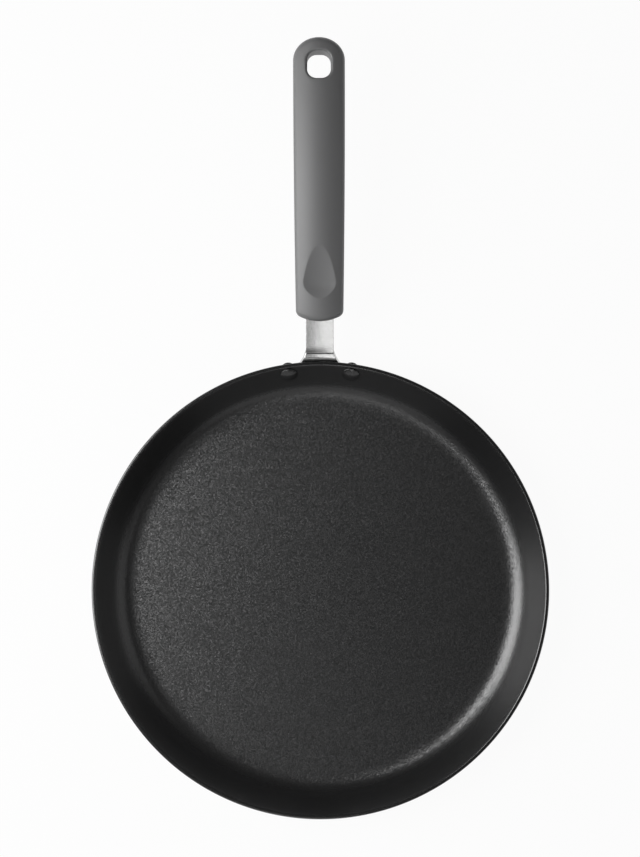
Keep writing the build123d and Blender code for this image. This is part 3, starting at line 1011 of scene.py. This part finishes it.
def rounded_rectangle(width, depth, corner, spacing):
    """A rectangle with round corners, anticlockwise about its middle."""
    angles = np.linspace(0.0, pi / 2, ceil(corner * pi / 2 / spacing) + 1)
    quarter = arc(angles, corner, corner, (width / 2 - corner, depth / 2 - corner))
    first = np.concatenate([quarter, quarter[::-1] * (-1, 1)])
    ring = np.concatenate([first, -first])
    spread = []
    for a, b in zip(ring, np.roll(ring, -1, axis=0)):
        parts = max(1, ceil(np.linalg.norm(b - a) / spacing))
        spread.append(a + (b - a) * (np.arange(parts) / parts)[:, None])
    return np.concatenate(spread)


def inside(flat, ring):
    """Which places lie inside a closed ring."""
    x, y = flat[:, :1], flat[:, 1:2]
    ax, ay = ring[:, 0], ring[:, 1]
    bx, by = np.roll(ax, -1), np.roll(ay, -1)
    crosses = (ay > y) != (by > y)
    with np.errstate(divide="ignore", invalid="ignore"):
        at = ax + (y - ay) * (bx - ax) / (by - ay)
    return (np.sum(crosses & (x < at), axis=1) % 2).astype(bool)


def clear_of(flat, ring, distance):
    """Which places keep at least `distance` from the points of a ring."""
    gaps = np.hypot(flat[:, :1] - ring[:, 0], flat[:, 1:2] - ring[:, 1])
    return gaps.min(axis=1) > distance


class Surface:
    """A mesh that grows row by row."""

    def __init__(self):
        self.points = []
        self.faces = []
        self.count = 0

    def add_points(self, points):
        """Adds points and gives the number of the first."""
        first = self.count
        self.points.append(points)
        self.count += len(points)
        return first

    def add_rows(self, rows):
        """Joins closed rows of equally many points with a band of faces."""
        size = len(rows[0])
        for low, high in zip(rows, rows[1:]):
            first = self.add_points(np.concatenate([low, high]))
            for a in range(size):
                b = (a + 1) % size
                self.faces.append((first + a, first + b, first + size + b, first + size + a))

    def add_sheet(self, rings, flats, loose, lift):
        """Fills the plan inside the first ring and outside the others; loose places are lifted."""
        fixed = np.concatenate(rings)
        flat = np.concatenate(flats + [loose]) * SOLVER_SCALE
        edges, start = [], 0
        for ring in rings:
            size = len(ring)
            edges += [(start + a, start + (a + 1) % size) for a in range(size)]
            start += size
        places, _, faces, sources, _, _ = delaunay_2d_cdt(
            [Vector(place) for place in flat.tolist()], edges, [], 1, SOLVER_WELD
        )
        spots = np.array([tuple(place) for place in places]) / SOLVER_SCALE
        faces = np.array([tuple(face) for face in faces])
        for ring in flats[1:]:
            faces = faces[~inside(spots[faces].mean(axis=1), ring)]
        points = lift(spots)
        for number, source in enumerate(sources):
            kept = [place for place in source if place < len(fixed)]
            if kept:
                points[number] = fixed[kept[0]]
        first = self.add_points(points)
        self.faces += (faces + first).tolist()

    def mesh(self, name):
        """The closed mesh, welded and with its faces turned outwards."""
        mesh = bpy.data.meshes.new(name)
        mesh.from_pydata(np.concatenate(self.points).tolist(), [], self.faces)
        with reshaped(mesh) as shape:
            bmesh.ops.remove_doubles(shape, verts=shape.verts, dist=WELD)
            bmesh.ops.recalc_face_normals(shape, faces=shape.faces)
            if shape.calc_volume(signed=True) < 0:
                bmesh.ops.reverse_faces(shape, faces=shape.faces)
        return mesh


def dimple_places(form):
    """Loose places along the thumb dimple's edge, close together across it."""
    origin = form.arch_frame(form.sizes.dimple_deepest)[0]
    middle = form.plan_of(origin[None, :])[0]
    rays = circle(DIMPLE_RAYS)[:, ::-1]
    farthest = DIMPLE_HALF_WIDTH / np.maximum(np.abs(rays[:, 0]), LEAST_SIDEWAYS)
    low, high = np.zeros(len(rays)), np.full(len(rays), DIMPLE_REACH)
    for _ in range(DIMPLE_HALVINGS):
        reach = np.minimum((low + high) / 2, farthest)
        points = form.in_plan(middle + rays * reach[:, None])
        cut = (form.lifted(points, form.up, 1) - form.scooped(points)) @ form.up > 0
        low, high = np.where(cut, reach, low), np.where(cut, high, reach)
    return np.concatenate([middle + rays * (low + offset)[:, None] for offset in DIMPLE_OFFSETS])


def add_screw_pocket(surface, form):
    """The round pocket for the screw in the belly, deeper than the sleeve's wall."""
    sizes = form.sizes
    along, normal = rising(sizes.start_angle), square_to(sizes.start_angle)
    origin = np.array(sizes.mouth) + along * sizes.screw_place
    away = laid(circle(POCKET_POINTS), along)
    wall = origin + away * sizes.screw_opening
    rows = form.rounded_edge(wall, away, normal, sizes.screw_lip, -1, POCKET_EDGE_STEPS)
    depth = sizes.wall * POCKET_DEPTH
    floor = rows[0] + normal * depth
    surface.add_rows([floor, rows[0] + normal * depth / 2] + rows)
    first = surface.add_points(np.concatenate([floor, floor.mean(axis=0)[None, :]]))
    size = len(floor)
    surface.faces += [(first + a, first + (a + 1) % size, first + size) for a in range(size)]
    return rows[-1]


def grip_body(sizes, inset, spacing, edge_radius, steps, finished):
    """The grip as one closed mesh, drawn in by `inset`: outline, rounded edges and hanging hole.

    Where it is finished, it also has the hole's round lip, the thumb dimple and the screw's pocket.
    """
    form = GripForm(sizes, inset)
    surface = Surface()
    flat = form.outline(spacing)
    into = laid(inward_directions(flat), form.along)
    outer_top, outer_belly = form.wall_band(
        surface, form.in_plan(flat), into, form.up, edge_radius, steps, FLANK_ROWS
    )

    middle = sizes.length - sizes.hole_to_tip - sizes.hole_length / 2
    origin, along, normal = form.arch_frame(middle)
    ring = rounded_rectangle(
        sizes.hole_width + 2 * inset,
        sizes.hole_length + 2 * inset,
        sizes.hole_corner + inset,
        spacing * HOLE_SPACING,
    )
    away = laid(-inward_directions(ring), along)
    lip, lip_steps = (sizes.hole_lip, steps) if finished else (HIDDEN_LIP, 1)
    hole_top, hole_belly = form.wall_band(
        surface, origin + laid(ring, along), away, normal, lip, lip_steps, BORE_ROWS
    )

    step = spacing * ROW_SPACING
    span = np.arange(0.0, form.chord, spacing)
    cross = np.arange(-sizes.width_tip / 2, sizes.width_tip / 2, step)
    grid = np.array([(x + (row % 2) * step / 2, y) for row, y in enumerate(span) for x in cross])

    def loose_places(edge_ring, *hole_rings):
        keep = inside(grid, edge_ring) & clear_of(grid, edge_ring, spacing * OUTLINE_GAP)
        for hole_ring in hole_rings:
            keep &= ~inside(grid, hole_ring) & clear_of(grid, hole_ring, spacing * HOLE_GAP)
        return grid[keep]

    rings = [outer_top, hole_top]
    flats = [form.plan_of(ring) for ring in rings]
    loose = loose_places(*flats)
    if finished:
        edges = dimple_places(form)
        loose = np.concatenate([loose[clear_of(loose, edges, spacing * DIMPLE_GAP)], edges])
    surface.add_sheet(rings, flats, loose, form.top)

    rings = [outer_belly, hole_belly]
    if finished:
        rings.append(add_screw_pocket(surface, form))
    flats = [form.plan_of(ring) for ring in rings]
    surface.add_sheet(rings, flats, loose_places(*flats), form.belly)
    return surface.mesh("grip_form")


def slot_block(sizes):
    """A block as large as the strap's slot, from inside the grip out past its mouth."""
    stretch = Matrix.Diagonal((sizes.slot_width, SLOT_BLOCK_LENGTH, sizes.slot_height, 1.0))
    turn = Matrix.Rotation(sizes.start_angle, 4, "X")
    mesh = bpy.data.meshes.new("slot_block")
    with reshaped(mesh) as shape:
        matrix = Matrix.Translation(Vector(sizes.mouth)) @ turn @ stretch
        bmesh.ops.create_cube(shape, size=1.0, matrix=matrix)
    return mesh


class PAN_OT_make_grip(bpy.types.Operator):
    """Make the grip's soft sleeve with its thumb dimple and hanging hole"""

    bl_idname = "crepe_pan.make_grip"
    bl_label = "Make Grip"

    def execute(self, context):
        sizes = context.scene.pan_grip
        outside = grip_body(sizes, 0.0, sizes.spacing, sizes.edge_radius, OUTER_STEPS, True)
        hollow = grip_body(
            sizes, sizes.wall, sizes.spacing * CAVITY_SPACING, sizes.inner_edge, CAVITY_STEPS, False
        )
        maker = helper_object("soft_sleeve_maker", outside)
        slot = helper_object("sleeve_slot", slot_block(sizes))
        cutters = [helper_object("sleeve_cavity", hollow), slot]
        for cutter in cutters:
            cut = maker.modifiers.new(cutter.name, "BOOLEAN")
            cut.operation = "DIFFERENCE"
            cut.solver = "EXACT"
            cut.object = cutter
        mesh = plain_mesh("soft_sleeve", maker)
        for cutter in cutters:
            discard(cutter)
        smooth_faces(mesh, GRIP_SHARP)
        rubber = moulded_material(
            "Soft-touch grey", sizes.grip_colour, sizes.grip_roughness, 0.30, 1.0
        )
        add_piece("soft_sleeve", mesh, rubber, "grip_soft", "grip_sleeve")
        return {"FINISHED"}


class PAN_OT_finish_inner_parts(bpy.types.Operator):
    """Give the core, the screw and the nut their finishes"""

    bl_idname = "crepe_pan.finish_inner_parts"
    bl_label = "Finish Inner Parts"

    def execute(self, context):
        sizes = context.scene.pan_grip
        plastic = moulded_material("Moulded core", sizes.core_colour, 0.5, 0.20, 0.5)
        plated = steel_material("Plated steel", (0.5, 0.5, 0.5), 0.35, PLATED_GRAIN, 0.10)
        finishes = {"grip_core": plastic, "grip_screw": plated, "grip_nut": plated}
        for name, material in finishes.items():
            dress(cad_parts[name].data, material)
        return {"FINISHED"}


# Stage

FLOOR_RADIUS = 12.0
FLOOR_HEIGHT = -0.0003  # just under the pan, so that the two don't coincide
FLOOR_GLOW = 0.95  # share of the floor's white that doesn't depend on the light
HORIZON = 0.085  # height on the room's sphere where its pale band ends
WHITE = (1.0, 1.0, 1.0, 1.0)
PAN_MIDDLE = (0.0, 0.08, 0.0)
STRAP_MIDDLE = (0.0, 0.152, 0.028)
LIGHTS = [  # name, place, what it looks at, width and height
    ("key_light", (-0.694, 0.10, 0.60), PAN_MIDDLE, (0.69, 0.93)),
    ("fill_light", (0.675, 0.02, 0.33), PAN_MIDDLE, (0.60, 0.60)),
    ("steel_card", (-0.17, -1.77, 2.20), STRAP_MIDDLE, (0.42, 1.75)),
    ("front_light", (0.0, -2.10, 0.60), PAN_MIDDLE, (2.6, 1.1)),
]


def area_light(name, place, target, size, power):
    """A soft light, as wide and as tall as `size` says, that looks at a point."""
    data = bpy.data.lights.new(name, "AREA")
    data.shape = "RECTANGLE"
    data.size, data.size_y = size
    data.energy = power
    light = helper_object(name, data)
    light.location = place
    light.rotation_euler = (Vector(target) - Vector(place)).to_track_quat("-Z", "Y").to_euler()


def photo_camera(stage):
    """The camera that stands where the photo was taken from."""
    data = bpy.data.cameras.new("photo_camera")
    data.sensor_width = 36.0
    data.lens = stage.lens
    data.clip_end = 50.0
    camera = helper_object("photo_camera", data)
    camera.location = (0.0, stage.camera_reach, stage.camera_height)
    camera.rotation_euler = (0.0, 0.0, stage.camera_roll)
    return camera


def floor_material(level):
    """A plain pale floor that shows white and keeps a faint shadow."""
    material, tree, shader = new_material("Pale floor")
    fill(shader, {"Base Color": opaque([level] * 3), "Roughness": 0.9})
    path = wire(tree, "ShaderNodeLightPath")
    camera, glossy, passing = (
        Value(path, f"Is {kind} Ray") for kind in ("Camera", "Glossy", "Transmission")
    )
    amount = (camera + glossy + passing) * FLOOR_GLOW
    glow = wire(tree, "ShaderNodeEmission", {"Color": WHITE, "Strength": 1.0})
    surface = wire(tree, "ShaderNodeMixShader", {0: amount, 1: shader, 2: glow})
    fill(tree.nodes["Material Output"], {"Surface": surface})
    return material


def studio_world(level):
    """A room that is pale round the horizon and darker overhead."""
    world = bpy.data.worlds.new("Studio")
    world.use_nodes = True
    tree = world.node_tree
    _, _, height = axes_of(Value(wire(tree, "ShaderNodeTexCoord"), "Generated"))
    brightness = height.ramp((0.0, HORIZON), (1.0, level))
    fill(tree.nodes["Background"], {"Color": WHITE, "Strength": brightness})
    return world


class PAN_OT_set_stage(bpy.types.Operator):
    """Set the camera, the floor, the lights and the room"""

    bl_idname = "crepe_pan.set_stage"
    bl_label = "Set Stage"

    def execute(self, context):
        stage = context.scene.pan_stage
        context.scene.camera = photo_camera(stage)
        mesh = bpy.data.meshes.new("floor")
        with reshaped(mesh) as shape:
            bmesh.ops.create_circle(shape, cap_ends=True, segments=96, radius=FLOOR_RADIUS)
        dress(mesh, floor_material(stage.floor_level))
        floor = helper_object("floor", mesh)
        floor.location.z = FLOOR_HEIGHT
        powers = (stage.key_power, stage.fill_power, stage.card_power, stage.front_power)
        for light, power in zip(LIGHTS, powers):
            area_light(*light, power)
        context.scene.world = studio_world(stage.sky_level)
        context.scene.view_settings.view_transform = "Standard"
        return {"FINISHED"}


class VIEW3D_PT_crepe_pan(bpy.types.Panel):
    """Buttons and sizes of the crepe pan"""

    bl_label = "Crepe Pan"
    bl_idname = "VIEW3D_PT_crepe_pan"
    bl_space_type = "VIEW_3D"
    bl_region_type = "UI"
    bl_category = "Crepe Pan"

    def draw(self, context):
        for operator, name, group in STEPS:
            box = self.layout.box()
            box.operator(operator.bl_idname)
            for size in group.__annotations__ if group else ():
                box.prop(getattr(context.scene, name), size)


STEPS = [  # operator, and where the scene keeps its settings
    (PAN_OT_make_dish, "pan_dish", PanDishSettings),
    (PAN_OT_make_rivets, "pan_rivets", PanRivetSettings),
    (PAN_OT_make_strap, "pan_strap", PanStrapSettings),
    (PAN_OT_make_grip, "pan_grip", PanGripSettings),
    (PAN_OT_finish_inner_parts, None, None),
    (PAN_OT_set_stage, "pan_stage", PanStageSettings),
]


def register():
    """Register the settings, the operators and the panel."""
    for operator, name, group in STEPS:
        if group:
            bpy.utils.register_class(group)
            setattr(bpy.types.Scene, name, PointerProperty(type=group))
        bpy.utils.register_class(operator)
    bpy.utils.register_class(VIEW3D_PT_crepe_pan)


def unregister():
    """Take the panel, the operators and the settings away again."""
    bpy.utils.unregister_class(VIEW3D_PT_crepe_pan)
    for operator, name, group in reversed(STEPS):
        bpy.utils.unregister_class(operator)
        if group:
            delattr(bpy.types.Scene, name)
            bpy.utils.unregister_class(group)


def main():
    """Make every piece."""
    register()
    bpy.ops.crepe_pan.make_dish()
    bpy.ops.crepe_pan.make_rivets()
    bpy.ops.crepe_pan.make_strap()
    bpy.ops.crepe_pan.make_grip()
    bpy.ops.crepe_pan.finish_inner_parts()
    bpy.ops.crepe_pan.set_stage()


if __name__ == "__main__":
    main()
